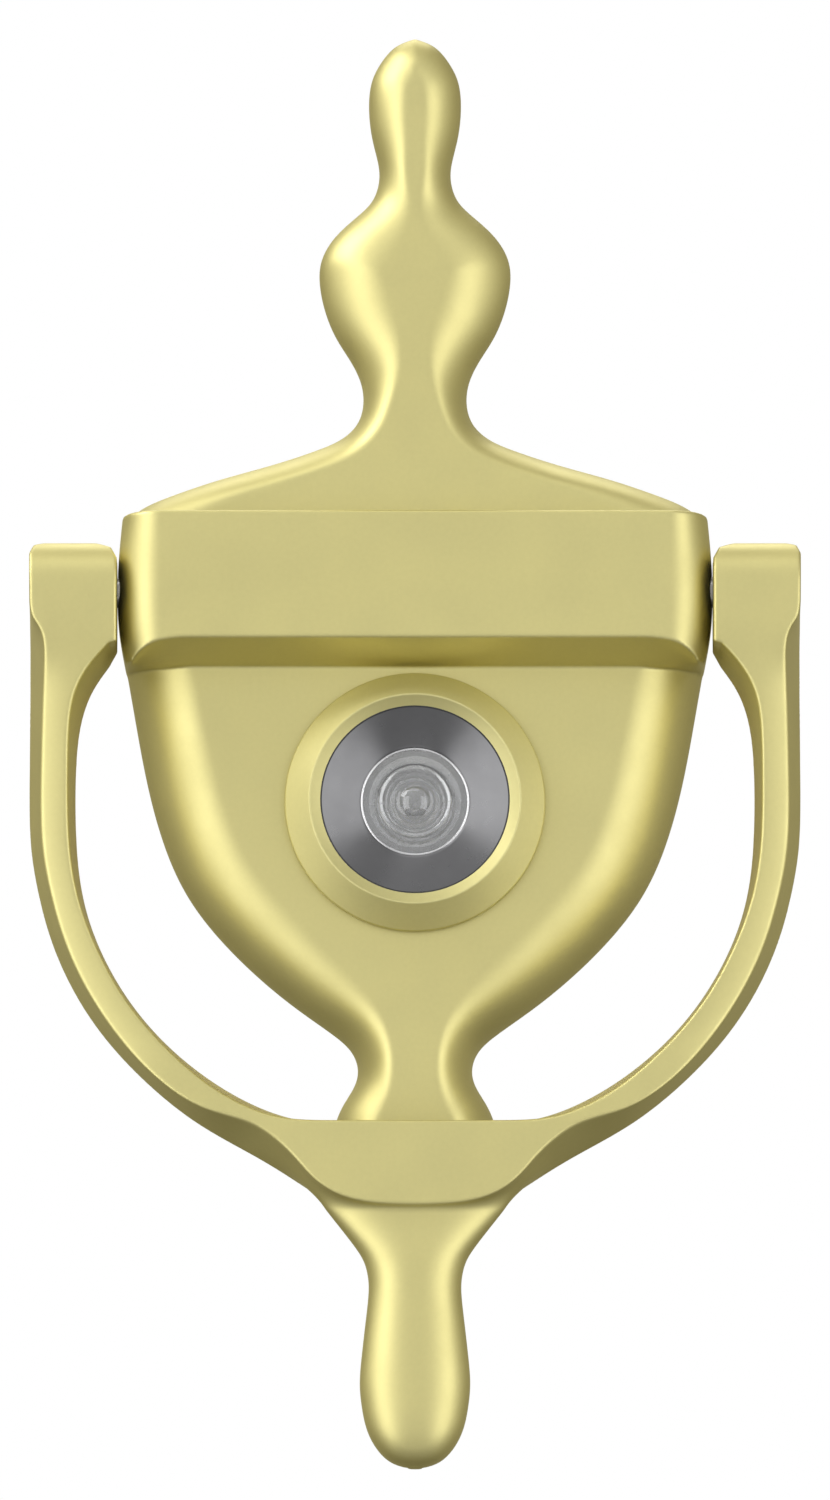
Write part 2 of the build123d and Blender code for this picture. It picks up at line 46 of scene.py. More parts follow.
# ======================================================================================
# Sizes of the two castings, in millimetres. d is the distance in front of the door, so
# y = -d. Most are the CAD model's; EAR_INNER is 0.18 less, for a narrower gap.
# The powers and the bow shape the roundings, and a pitch is the step of a casting's grid.
# ======================================================================================
FACE, RIM, BACK_RELIEF = 10.0, 1.0, 3.0
FINIAL_FALL, SEAM_Z, TIP_Z = 4.0, 36.0, 102.7
NECK_DIP, DIP_BEGINS, DIP_ENDS = 0.22, (76.5, 81.5), (86.0, 95.0)
EDGE_POWER = 1.75
BAND_TOP, BAND_BOTTOM, BAND_LIP = 37.9, 18.0, 3.1
BAND_FLAT, BAND_ROLL_DEPTH = 33.0, 7.4
LIP_STRAIGHT, LIP_END = 29.6, 36.9
ARM_BOW, ARM_BOW_WIDTH, BOW_BEGINS, BOW_ENDS = 0.6, 4.6, (-40.0, -32.0), (14.0, 22.0)
PIVOT_Z, PIVOT_D, EAR_RADIUS = 27.9, 9.5, 6.5
EAR_INNER, ARM_OUTER = 39.02, 50.5
DROP_END = -88.2
STUD_Z = -46.2
BOLT_HOLE_RADIUS = 2.5
BOLTS = (("upper", 73.0, 6.0), ("lower", -41.0, 7.0))  # name, height, depth of the tapped hole
BARREL_HOLE_RADIUS, BARREL_BOSS, BOSS_SHORT = 7.15, 12.0, 0.4
PIN_HOLE_RADIUS, PIN_HOLE_END = 2.05, 30.0
BUSH_RECESS, BUSH_HOLE, EAR_HOLE = (4.0, 39.8), (3.0, 46.5), (2.15, 60.0)
BAND_FRONT, BAND_POWER, BAND_ROUND = 17.0, 2.2, 5.5
BAND_HALF_WIDTH = [(18.0, 37.8), (24.0, 38.8), (31.0, 38.88), (37.9, 38.3)]
DROP_POWER, DROP_START = 2.4, -45.0
URN_PITCH, KNOCKER_PITCH = 0.30, 0.21
SLOPE_STEP = 1.2  # in steps of the grid, how far to each side a casting's normals are measured

# The urn's outline, from its tip down the right side to the bottom of its foot.
URN = [
    (0, 102.7), (2.6, 101.6), (4.6, 99.3), (5.7, 96.9), (6.05, 93.6), (5.65, 89.6), (4.9, 86.4),
    (4.7, 84.0), (5.5, 81.3), (7.4, 79.2), (10.4, 76.4), (12.2, 73.4), (12.55, 70.6), (11.9, 66.8),
    (10.4, 63.0), (8.5, 59.9), (7.1, 56.9), (6.8, 54.0), (7.6, 51.4), (9.6, 49.4), (12.8, 47.9),
    (18.8, 45.9), (25.8, 43.9), (31.4, 42.0), (35.6, 40.2), (37.7, 38.4), (38.4, 36.0), (38.9, 29.0),
    (38.75, 24.0), (38.1, 20.1), (36.7, 12.2), (35.2, 4.2), (33.1, -3.7), (29.45, -11.7), (22.9, -19.6),
    (16.0, -25.6), (10.9, -29.3), (8.4, -31.6), (7.5, -33.9), (7.9, -36.2), (9.4, -38.8), (10.6, -42.0),
    (10.4, -45.0), (8.0, -47.8), (4.0, -49.3), (0, -49.5),
]
# How wide the rounding of the plate's edge is at each height, in from the outline.
ROLL = [
    (102.7, 5.2), (94, 5.0), (89, 4.4), (84.5, 3.6), (80.5, 4.9), (76, 6.6), (70, 8.4), (63, 7.2),
    (58, 5.4), (54, 4.0), (50, 3.6), (45, 3.8), (41, 4.0), (32, 6.4), (20, 8.5), (-16, 8.2),
    (-26, 6.0), (-34, 4.7), (-42, 5.6), (-49.5, 5.6),
]
# The recess behind, from its top corner down the right side to its lowest point.
RECESS = [(31.5, 32.0), (31.2, 22.0), (28.6, 5.0), (24.8, -6.5), (18.0, -14.8), (8.0, -21.4), (0, -23.8)]

# The knocker's outlines at its front and its back, from the ear's top down outside, and back up inside.
STIRRUP_BACK_OUT = [
    (50.5, 26.0), (50.5, 10.0), (50.5, -3.0), (49.9, -9.0), (48.0, -17.0), (44.6, -25.0), (39.2, -32.9),
    (31.1, -40.8), (25.0, -44.9), (19.5, -48.0), (14.5, -51.0), (8.0, -53.8), (0, -54.6),
]
STIRRUP_BACK_IN = [
    (0, -43.0), (13.0, -42.6), (21.0, -40.2), (28.6, -35.4), (35.3, -28.8), (40.3, -21.0), (43.3, -12.6),
    (44.3, -3.0), (44.2, 6.0), (43.5, 11.2), (42.1, 15.2), (40.0, 18.6),
]
STIRRUP_FRONT_OUT = [
    (50.45, 26.0), (50.1, 23.9), (49.2, 22.4), (48.6, 20.4), (48.6, 16.0), (48.9, 4.0), (48.75, -5.8),
    (47.7, -12.2), (45.9, -18.6), (43.2, -24.8), (39.4, -30.9), (34.3, -36.8), (28.7, -40.9), (24.4, -42.4),
    (20.9, -43.6), (18.0, -45.6), (15.6, -48.0), (13.3, -50.6), (10.4, -52.6), (6.4, -53.7), (0, -54.0),
]
STIRRUP_FRONT_IN = [
    (0, -43.0), (10.2, -42.97), (16.2, -42.8), (21.0, -41.6), (26.2, -38.8), (30.3, -35.5), (34.3, -31.4),
    (38.3, -26.1), (41.2, -20.7), (43.2, -15.8), (44.6, -10.4), (45.3, -4.0), (45.4, 4.0), (45.2, 10.2),
    (44.3, 14.5), (42.3, 17.9), (40.1, 20.3),
]
# The stirrup seen from the side: (height, depth of its front, depth of its back).
STIRRUP_SIDE = [
    (27.9, 16.0, 3.0), (23.0, 15.9, 3.5), (19.0, 15.5, 4.8), (14.0, 15.0, 6.8), (8.0, 14.7, 8.0),
    (-4.0, 14.7, 8.3), (-14.0, 15.3, 8.4), (-24.0, 16.6, 9.2), (-34.0, 18.3, 11.2), (-41.0, 19.2, 12.8),
    (-46.0, 19.45, 13.0), (-56.0, 19.6, 13.0),
]
# The drop handle: (height, half width, half depth, depth of its centre).
DROP = [
    (-44.0, 9.0, 1.8, 15.6), (-48.0, 12.2, 2.3, 15.7), (-50.0, 12.9, 2.5, 15.7), (-52.8, 12.5, 2.9, 15.6),
    (-55.0, 11.1, 3.3, 15.4), (-57.0, 9.5, 3.7, 15.2), (-59.0, 7.95, 4.05, 15.0), (-61.0, 6.7, 4.35, 14.8),
    (-63.0, 6.15, 4.55, 14.6), (-65.0, 6.05, 4.65, 14.5), (-69.0, 6.45, 4.9, 14.4), (-73.0, 6.9, 5.2, 14.4),
    (-77.0, 7.2, 5.35, 14.4), (-80.0, 6.95, 5.3, 14.4), (-82.5, 6.45, 5.1, 14.4), (-84.6, 5.6, 4.7, 14.4),
    (-86.4, 4.3, 3.9, 14.4), (-87.5, 2.8, 2.7, 14.4), (-88.1, 0.9, 0.9, 14.4),
]


# ======================================================================================
# Curves and distances
# ======================================================================================
def smooth(points, count):
    """count points along a smooth curve through the given ones, as an array."""
    p = np.array(points, float)
    step = np.sqrt(np.linalg.norm(np.diff(p, axis=0), axis=1))
    knots = np.concatenate([[0], np.cumsum(step)])
    n = len(p)
    h = np.diff(knots)
    system = np.zeros((n, n))
    right = np.zeros((n, p.shape[1]))
    system[0, 0] = system[-1, -1] = 1
    for i in range(1, n - 1):
        system[i, i - 1: i + 2] = h[i - 1], 2 * (h[i - 1] + h[i]), h[i]
        right[i] = 6 * ((p[i + 1] - p[i]) / h[i] - (p[i] - p[i - 1]) / h[i - 1])
    bend = np.linalg.solve(system, right)
    t = np.linspace(0, knots[-1], count)
    k = np.clip(np.searchsorted(knots, t) - 1, 0, n - 2)
    a = ((knots[k + 1] - t) / h[k])[:, None]
    b = 1 - a
    width = (h[k] ** 2 / 6)[:, None]
    return a * p[k] + b * p[k + 1] + ((a**3 - a) * bend[k] + (b**3 - b) * bend[k + 1]) * width


def table(rows, at):
    """The other columns of rows at each height, on a smooth curve; the first column is the height."""
    line = smooth(sorted(rows), 400)
    return [np.interp(at, line[:, 0], line[:, column]) for column in range(1, line.shape[1])]


def ease(value, start, end):
    """A smooth step from 0 to 1 as value goes from start to end."""
    t = np.clip((value - start) / (end - start), 0, 1)
    return t * t * (3 - 2 * t)


def inside(x, z, loop):
    """Distance from each (x, z) to a closed loop of points: positive inside it, negative outside."""
    start = np.asarray(loop, float)
    end = np.roll(start, -1, axis=0)
    nearest = np.full(x.shape, 1e9)
    within = np.zeros(x.shape, bool)
    for (ax, az), (bx, bz) in zip(start, end):
        ex, ez = bx - ax, bz - az
        along = np.clip(((x - ax) * ex + (z - az) * ez) / max(ex * ex + ez * ez, 1e-12), 0, 1)
        nearest = np.minimum(nearest, (x - ax - along * ex) ** 2 + (z - az - along * ez) ** 2)
        if az != bz:
            within ^= ((az > z) != (bz > z)) & (x < ex * (z - az) / ez + ax)
    return np.where(within, 1, -1) * np.sqrt(nearest)


def both(a, b, soft):
    """What is in both shapes, with its new edges rounded; a and b are negative inside."""
    h = np.maximum(soft - np.abs(a - b), 0) / soft
    return np.maximum(a, b) + h * h * soft / 4


def either(a, b, soft):
    """What is in either shape, with a fillet where they meet."""
    return -both(-a, -b, soft)


def without(a, b, soft):
    """The first shape less the second."""
    return both(a, -b, soft)


# ======================================================================================
# Castings, sculpted as fields and turned into a mesh
# ======================================================================================
def link(name, data):
    """A new object in the scene for a mesh, a light or a camera."""
    thing = bpy.data.objects.new(name, data)
    bpy.context.collection.objects.link(thing)
    return thing


def sample(values, at):
    """Values of a 3-D array at fractional places, by trilinear interpolation."""
    low = np.clip(np.floor(at).astype(int), 0, np.array(values.shape) - 2)
    part = at - low
    total = np.zeros(len(at))
    for corner in np.ndindex(2, 2, 2):
        weight = np.prod(np.where(corner, part, 1 - part), axis=1)
        i, j, k = (low + corner).T
        total += weight * values[i, j, k]
    return total


def casting(name, field, half_width, depths, heights, pitch):
    """The surface where field(x, d, z) is zero, as a mesh; it is made for x >= 0 and mirrored."""
    edge = 2 * pitch
    x = np.arange(0, half_width + edge, pitch, dtype=np.float32)[:, None, None]
    d = np.arange(depths[0] - edge, depths[1] + edge, pitch, dtype=np.float32)[None, :, None]
    z = np.arange(heights[0] - edge, heights[1] + edge, pitch, dtype=np.float32)[None, None, :]
    half = field(x, d, z).astype(np.float32)
    whole = np.concatenate([half[:0:-1], half])
    far = 3 * pitch
    grid = openvdb.FloatGrid(background=far)
    grid.copyFromArray(np.clip(whole, -far, far))
    points, quads = grid.convertToQuads(isovalue=0)
    points = points.astype(float)
    steps = np.eye(3) * SLOPE_STEP
    slopes = [sample(whole, points + step) - sample(whole, points - step) for step in steps]
    normals = np.stack([slopes[0], -slopes[1], slopes[2]], axis=1)
    normals /= np.maximum(np.linalg.norm(normals, axis=1, keepdims=True), 1e-9)
    points = points * pitch
    place = np.empty_like(points)
    place[:, 0] = points[:, 0] - (half.shape[0] - 1) * pitch
    place[:, 1] = -(points[:, 1] + d[0, 0, 0])
    place[:, 2] = points[:, 2] + z[0, 0, 0]
    mesh = bpy.data.meshes.new(name)
    mesh.from_pydata((place * MM).tolist(), [], quads.tolist())
    mesh.update()
    piece = link(name, mesh)
    work = bmesh.new()
    work.from_mesh(mesh)
    bmesh.ops.recalc_face_normals(work, faces=work.faces)
    work.to_mesh(mesh)
    work.free()
    mesh.shade_smooth()
    mesh.normals_split_custom_set_from_vertices(normals.tolist())
    return piece


def urn_field(x, d, z):
    """The plate: a flat face with rolled edges, the band, the recess behind and the bored holes."""
    right = smooth(URN, 420)
    loop = np.concatenate([right, right[-2:0:-1] * (-1, 1)])
    xs, zs = np.broadcast_arrays(x[:, 0, :], z[:, 0, :])
    inset = inside(xs, zs, loop)[:, None, :]
    roll = table(ROLL, z)[0]
    front = FACE - FINIAL_FALL * np.maximum(z - SEAM_Z, 0) / (TIP_Z - SEAM_Z)
    front = front - NECK_DIP * ease(z, *DIP_BEGINS) * (1 - ease(z, *DIP_ENDS))
    across = np.maximum(roll - inset, 0) / roll
    out = np.maximum(d - RIM, 0) / (front - RIM)
    body = ((across**EDGE_POWER + out**EDGE_POWER) ** (1 / EDGE_POWER) - 1) * np.minimum(roll, front - RIM)
    body = np.where((across == 0) & (out == 0), -np.minimum(roll, front - RIM), body)
    body = both(body, -d, 0.5)

    half_width = table(BAND_HALF_WIDTH, z)[0]
    band_front = BAND_FRONT - (z - BAND_BOTTOM) / (BAND_TOP - BAND_BOTTOM)
    roll_start = band_front - BAND_ROLL_DEPTH
    over = np.maximum(np.abs(x) - BAND_FLAT, 0) / (half_width - BAND_FLAT)
    ahead = np.maximum(d - roll_start, 0) / BAND_ROLL_DEPTH
    band = ((over**BAND_POWER + ahead**BAND_POWER) ** (1 / BAND_POWER) - 1) * BAND_ROUND
    band = np.where(over == 0, np.maximum(band, d - band_front), band)
    past = np.clip((np.abs(x) - LIP_STRAIGHT) / (LIP_END - LIP_STRAIGHT), 0, 1)
    slope = BAND_LIP * np.sqrt(1 - past**2) / (BAND_FRONT - FACE)
    underside = (BAND_BOTTOM - z + (d - FACE) * slope) / np.sqrt(1 + slope**2)
    ends = both(both(z - BAND_TOP, BAND_BOTTOM - z, 0.3), underside, 0.3)
    band = both(both(band, ends, 0.3), 1.0 - d, 0.4)
    shape = either(body, band, 0.35)

    back = smooth(RECESS, 60)
    back_loop = np.concatenate([back, back[-2::-1] * (-1, 1)])
    recess = both(-inside(xs, zs, back_loop)[:, None, :], d - BACK_RELIEF, 1.0)
    from_axis = np.sqrt(x**2 + z**2)
    recess = without(recess, both(from_axis - BARREL_BOSS, BOSS_SHORT - d, 0.3), 1.0)
    shape = without(shape, recess, 0.5)

    shape = without(shape, from_axis - BARREL_HOLE_RADIUS, 0.3)
    for _, hole_z, depth in BOLTS:
        hole = both(np.sqrt(x**2 + (z - hole_z) ** 2) - BOLT_HOLE_RADIUS, d - depth, 0.2)
        shape = without(shape, hole, 0.2)
    axle = np.sqrt((d - PIVOT_D) ** 2 + (z - PIVOT_Z) ** 2)
    pin = both(axle - PIN_HOLE_RADIUS, PIN_HOLE_END - np.abs(x), 0.2)
    return without(shape, pin, 0.2)


def knocker_field(x, d, z):
    """The knocker: ears, arms and thumb plate drafted from back to front, with the drop handle."""
    ear_top = PIVOT_Z + EAR_RADIUS
    loops = []
    for outer, inner in ((STIRRUP_BACK_OUT, STIRRUP_BACK_IN), (STIRRUP_FRONT_OUT, STIRRUP_FRONT_IN)):
        ear = [
            (EAR_INNER, 20.6), (EAR_INNER, ear_top - 2.6), (EAR_INNER + 0.8, ear_top - 0.9),
            (EAR_INNER + 2.8, ear_top), (ARM_OUTER - 1.9, ear_top), (ARM_OUTER - 0.55, ear_top - 0.5),
            (ARM_OUTER, ear_top - 1.9),
        ]
        centre = [(-4.0, outer[-1][1]), (-4.0, inner[0][1])]
        loops.append(np.concatenate([ear, smooth(outer, 160), centre, smooth(inner, 160)]))
    xs, zs = np.broadcast_arrays(x[:, 0, :], z[:, 0, :])
    at_back = -inside(xs, zs, loops[0])[:, None, :]
    at_front = -inside(xs, zs, loops[1])[:, None, :]
    front, back = table(STIRRUP_SIDE, z)
    outer_line = smooth(STIRRUP_FRONT_OUT, 160)
    outer_loop = np.concatenate([[(-4.0, 26.0)], outer_line, [(-4.0, STIRRUP_FRONT_OUT[-1][1])]])
    from_outside = np.maximum(1 - inside(xs, zs, outer_loop)[:, None, :] / ARM_BOW_WIDTH, 0)
    front = front - ARM_BOW * from_outside**2 * (1 - ease(z, *BOW_ENDS)) * ease(z, *BOW_BEGINS)
    share = np.clip((d - back) / (front - back), 0, 1)
    outline = at_back + (at_front - at_back) * share
    axle = np.sqrt((d - PIVOT_D) ** 2 + (z - PIVOT_Z) ** 2)
    side = np.where(z > PIVOT_Z, axle - EAR_RADIUS, np.maximum(d - front, back - d))
    stirrup = both(outline, side, 0.4)

    wide, deep, centre_d = table(DROP, z)
    wide, deep = np.maximum(wide, 0.05), np.maximum(deep, 0.05)
    across, out = np.abs(x) / wide, np.abs(d - centre_d) / deep
    ring = (across**DROP_POWER + out**DROP_POWER) ** (1 / DROP_POWER)
    handle = (ring - 1) * np.minimum(wide, deep)
    handle = np.maximum(np.maximum(handle, z - DROP_START), DROP_END - z)
    shape = either(stirrup, handle, 1.6)

    for radius, end in (BUSH_RECESS, BUSH_HOLE, EAR_HOLE):
        shape = without(shape, both(axle - radius, x - end, 0.2), 0.25)
    return shape


# ======================================================================================
# Turned and pressed pieces
# ======================================================================================
def crisp(piece, edge=0.0, angle=32.0):
    """Smooth shading with sharp edges kept, and a small bevel of edge millimetres on them."""
    piece.data.shade_smooth()
    if edge:
        bevel = piece.modifiers.new("edge", "BEVEL")
        bevel.width = edge * MM
        bevel.segments = 3
        bevel.limit_method = "ANGLE"
        bevel.angle_limit = radians(angle)
        bevel.harden_normals = True
    piece.data.set_sharp_from_angle(angle=radians(angle))
    return piece


def along_y(centre_x, centre_z):
    """Places (radius, y) rings round a line along Y; x and z are the line's."""
    return lambda r, y, t: ((centre_x + r * cos(t)) * MM, y * MM, (centre_z + r * sin(t)) * MM)


def along_x(centre_d, centre_z):
    """Places (radius, x) rings round a line along X."""
    return lambda r, x, t: (x * MM, (r * cos(t) - centre_d) * MM, (centre_z + r * sin(t)) * MM)


def mesh_from(name, work):
    """A linked object from a bmesh, with its normals turned outward."""
    bmesh.ops.recalc_face_normals(work, faces=work.faces)
    mesh = bpy.data.meshes.new(name)
    work.to_mesh(mesh)
    work.free()
    return link(name, mesh)


def turned(name, profile, place=along_y(0, 0), around=144, edge=0.0):
    """A closed profile of (radius, distance along) points, turned about the line that place gives."""
    work = bmesh.new()
    turns = [2 * pi * i / around for i in range(around)]
    rings = []
    for radius, along in profile:
        if radius < 1e-6:
            rings.append([work.verts.new(place(0, along, 0))])
        else:
            rings.append([work.verts.new(place(radius, along, t)) for t in turns])
    pairs = list(zip(rings, rings[1:]))
    if min(radius for radius, _ in profile) > 1e-6:
        pairs.append((rings[-1], rings[0]))
    for one, two in pairs:
        if len(one) == 1 and len(two) == 1:
            continue
        for i in range(around):
            k = (i + 1) % around
            corners = [one[i % len(one)], one[k % len(one)], two[k % len(two)], two[i % len(two)]]
            work.faces.new(list(dict.fromkeys(corners)))
    return crisp(mesh_from(name, work), edge)


def arc(centre, radius, start, end, steps):
    """Points along a circular arc of a profile; angles in degrees."""
    turns = [radians(start + (end - start) * i / steps) for i in range(steps + 1)]
    return [(centre[0] + radius * cos(t), centre[1] + radius * sin(t)) for t in turns]


THREAD_STEPS = 8
HOLE_STEPS = 48


def screw_thread(name, outer, pitch, depth, y_start, y_end, bore=0.0, centre_z=0.0, around=60):
    """A rod or tube along Y with a helical thread on its outside, run out at both ends."""
    rows = int((y_end - y_start) / pitch * THREAD_STEPS)
    ys = np.linspace(y_start, y_end, rows + 1)
    turns = np.arange(around) / around
    wave = np.abs(((ys[:, None] / pitch - turns[None, :]) % 1.0) - 0.5) * 2
    tooth = np.clip((wave - 0.12) / 0.76, 0, 1)
    runout = np.clip(np.minimum(ys - y_start, y_end - ys) / pitch, 0, 1)[:, None]
    radius = outer - depth + depth * tooth * runout
    place = along_y(0, centre_z)
    work = bmesh.new()
    rings = []
    for y, ring in zip(ys, radius):
        rings.append([work.verts.new(place(r, y, 2 * pi * t)) for r, t in zip(ring, turns)])
    if bore:
        rings += [[work.verts.new(place(bore, y, 2 * pi * t)) for t in turns] for y in (ys[-1], ys[0])]
    else:
        work.faces.new(rings[0])
        work.faces.new(rings[-1])
    for one, two in zip(rings, rings[1:] + (rings[:1] if bore else [])):
        for i in range(around):
            k = (i + 1) % around
            work.faces.new((one[i], one[k], two[k], two[i]))
    return crisp(mesh_from(name, work), 0, 50.0)


def slab(name, loop, y_start, y_end, holes, edge):
    """A flat plate from a closed loop of (x, z) points, with round holes of (x, z, radius) through it."""
    work = bmesh.new()
    loops = [list(loop)]
    for hole_x, hole_z, radius in holes:
        turns = [2 * pi * i / HOLE_STEPS for i in range(HOLE_STEPS)]
        loops.append([(hole_x + radius * cos(t), hole_z + radius * sin(t)) for t in turns])
    edges = []
    for points in loops:
        front = [work.verts.new((x * MM, y_start * MM, z * MM)) for x, z in points]
        edges += [work.edges.new((one, two)) for one, two in zip(front, front[1:] + front[:1])]
    filled = bmesh.ops.triangle_fill(
        work, use_beauty=True, use_dissolve=False, edges=edges, normal=(0, -1, 0),
    )
    faces = [g for g in filled["geom"] if isinstance(g, bmesh.types.BMFace)]
    pushed = bmesh.ops.extrude_face_region(work, geom=faces, use_keep_orig=True)
    moved = [g for g in pushed["geom"] if isinstance(g, bmesh.types.BMVert)]
    bmesh.ops.translate(work, verts=moved, vec=(0, (y_end - y_start) * MM, 0))
    return crisp(mesh_from(name, work), edge)


def cut(piece, *tools):
    """Cuts the tools out of a piece and removes them."""
    for tool in tools:
        boolean = piece.modifiers.new("cut", "BOOLEAN")
        boolean.operation = "DIFFERENCE"
        boolean.solver = "EXACT"
        boolean.object = tool
        piece.modifiers.move(len(piece.modifiers) - 1, 0)
    bpy.context.view_layer.update()
    graph = bpy.context.evaluated_depsgraph_get()
    mesh = bpy.data.meshes.new_from_object(piece.evaluated_get(graph))
    piece.modifiers.clear()
    piece.data = mesh
    for tool in tools:
        bpy.data.objects.remove(tool)
    return crisp(piece)


def brick(name, low, high):
    """A plain box, used only as a cutting tool."""
    work = bmesh.new()
    bmesh.ops.create_cube(work, size=1.0)
    for vert in work.verts:
        vert.co = [(a + (b - a) * (c + 0.5)) * MM for a, b, c in zip(low, high, vert.co)]
    return mesh_from(name, work)


# ======================================================================================
# Materials
# ======================================================================================
def map_range(nodes, links, value, source, target, kind="LINEAR"):
    """value carried over from the span source to the span target, by a node."""
    node = nodes.new("ShaderNodeMapRange")
    node.interpolation_type = kind
    for socket, number in zip(("From Min", "From Max", "To Min", "To Max"), (*source, *target)):
        node.inputs[socket].default_value = number
    links.new(value, node.inputs["Value"])
    return node.outputs["Result"]


class Look:
    """A node material under construction."""

    def __init__(self, name, **fixed):
        self.material = bpy.data.materials.new(name)
        self.material.use_nodes = True
        self.nodes = self.material.node_tree.nodes
        self.links = self.material.node_tree.links
        self.shader = self.nodes["Principled BSDF"]
        for socket, value in fixed.items():
            self.shader.inputs[socket.replace("_", " ")].default_value = value
        self.place = self.nodes.new("ShaderNodeTexCoord").outputs["Object"]

    def noise(self, scale, stretch=(1, 1, 1), detail=3.0, rough=0.55):
        """A noise value; scale is in features per metre and stretch is per axis."""
        mapping = self.nodes.new("ShaderNodeMapping")
        mapping.inputs["Scale"].default_value = stretch
        self.links.new(self.place, mapping.inputs["Vector"])
        texture = self.nodes.new("ShaderNodeTexNoise")
        texture.inputs["Scale"].default_value = scale
        texture.inputs["Detail"].default_value = detail
        texture.inputs["Roughness"].default_value = rough
        self.links.new(mapping.outputs["Vector"], texture.inputs["Vector"])
        return texture.outputs["Fac"]

    def span(self, value, low, high, start=0.3, end=0.7):
        """value from start..end carried over to low..high."""
        return map_range(self.nodes, self.links, value, (start, end), (low, high))

    def mix(self, share, first, second):
        """A colour between two, by share."""
        node = self.nodes.new("ShaderNodeMix")
        node.data_type = "RGBA"
        self.links.new(share, node.inputs["Factor"])
        for socket, value in ((node.inputs[6], first), (node.inputs[7], second)):
            if isinstance(value, tuple):
                socket.default_value = (*value, 1.0)
            else:
                self.links.new(value, socket)
        return node.outputs[2]

    def bump(self, layers):
        """Stacks (height, strength, distance in millimetres) layers into the shader's normal."""
        before = None
        for height, strength, distance in layers:
            node = self.nodes.new("ShaderNodeBump")
            node.inputs["Strength"].default_value = strength
            node.inputs["Distance"].default_value = distance * MM
            self.links.new(height, node.inputs["Height"])
            if before is not None:
                self.links.new(before, node.inputs["Normal"])
            before = node.outputs["Normal"]
        self.links.new(before, self.shader.inputs["Normal"])

    def set(self, socket, value):
        """Feeds a shader socket."""
        self.links.new(value, self.shader.inputs[socket])


def satin_brass(name, light, dark, rough=(0.46, 0.52), grain=(1, 1, 0.06), grain_scale=5200.0):
    """Lacquered brass: a slow drift of colour, small dark specks and a fine satin grain along one axis."""
    look = Look(name, Metallic=1.0, Coat_Weight=0.12, Coat_Roughness=0.35, Coat_IOR=1.45)
    drift = look.span(look.noise(24.0, detail=2.0), 0.0, 1.0)
    colour = look.mix(drift, dark, light)
    speck = look.span(look.noise(1600.0, detail=2.0), 0.0, 0.08)
    colour = look.mix(speck, colour, tuple(c * 0.72 for c in dark))
    look.set("Base Color", colour)
    soft = look.noise(140.0, detail=3.0)
    look.set("Roughness", look.span(soft, rough[0], rough[1]))
    look.bump([(look.noise(grain_scale, stretch=grain, detail=2.0), 0.05, 0.02)])
    return look.material


def plain_metal(name, light, dark, rough, grain, grain_scale):
    """A bare or plated metal with a faint mottle and grain."""
    look = Look(name, Metallic=1.0)
    look.set("Base Color", look.mix(look.span(look.noise(220.0), 0.0, 1.0), dark, light))
    look.set("Roughness", look.span(look.noise(500.0), rough[0], rough[1]))
    look.bump([(look.noise(grain_scale, stretch=grain), 0.12, 0.02)])
    return look.material


def plastic(name, light, dark, rough, bump=0.15, scale=900.0):
    """A moulded plastic or fibre with a fine texture."""
    look = Look(name, Metallic=0.0)
    look.set("Base Color", look.mix(look.span(look.noise(scale * 0.4), 0.0, 1.0), dark, light))
    look.set("Roughness", look.span(look.noise(scale), rough[0], rough[1]))
    look.bump([(look.noise(scale * 2), bump, 0.03)])
    return look.material


def lens(name, tint, rough=0.02, clear=1.0, ior=1.52):
    """Polished optical glass with a slightly uneven tint; clear is the share that it lets through."""
    look = Look(name, Transmission_Weight=clear, IOR=ior)
    paler = tuple(min(1.0, c * 1.03) for c in tint)
    look.set("Base Color", look.mix(look.span(look.noise(60.0), 0.0, 1.0), tint, paler))
    look.set("Roughness", look.span(look.noise(300.0), rough, rough + 0.03))
    return look.material


# How a grain is stretched along X, Y and Z.
EVEN, ROUND_THE_TURN, ALONG_X = (1, 1, 1), (1, 6, 1), (1, 6, 6)
CAST_LIGHT, CAST_DARK = (0.685, 0.625, 0.280), (0.67, 0.61, 0.271)
brass_plate = satin_brass("satin_brass_plate", CAST_LIGHT, CAST_DARK)
brass_knocker = satin_brass("satin_brass_knocker", CAST_LIGHT, CAST_DARK)
brass_turned = satin_brass(
    "turned_brass", (0.675, 0.625, 0.30), (0.635, 0.585, 0.27), (0.52, 0.58), ROUND_THE_TURN, 900.0,
)
brass_pressed = satin_brass(
    "pressed_brass", (0.72, 0.63, 0.28), (0.68, 0.59, 0.25), (0.32, 0.42), EVEN, 2500.0,
)
cup_black = plain_metal(
    "cup_black", (0.165, 0.165, 0.169), (0.150, 0.150, 0.154), (0.27, 0.30), EVEN, 2500.0,
)
pin_steel = plain_metal(
    "pin_steel", (0.55, 0.54, 0.52), (0.45, 0.44, 0.42), (0.25, 0.35), ALONG_X, 1200.0,
)
zinc_steel = plain_metal(
    "zinc_steel", (0.62, 0.63, 0.64), (0.52, 0.54, 0.57), (0.25, 0.38), EVEN, 1800.0,
)
black_plastic = plastic("black_plastic", (0.030, 0.030, 0.032), (0.018, 0.018, 0.019), (0.45, 0.6))
nylon = plastic("nylon", (0.050, 0.048, 0.044), (0.036, 0.035, 0.032), (0.4, 0.5))
fibre = plastic("red_fibre", (0.34, 0.085, 0.05), (0.24, 0.055, 0.035), (0.6, 0.75), 0.5, 1400.0)
glass = lens("lens_glass", (0.93, 0.95, 0.96))
front_optic = lens("front_optic", (0.80, 0.81, 0.82), 0.02, 0.86, 1.8)
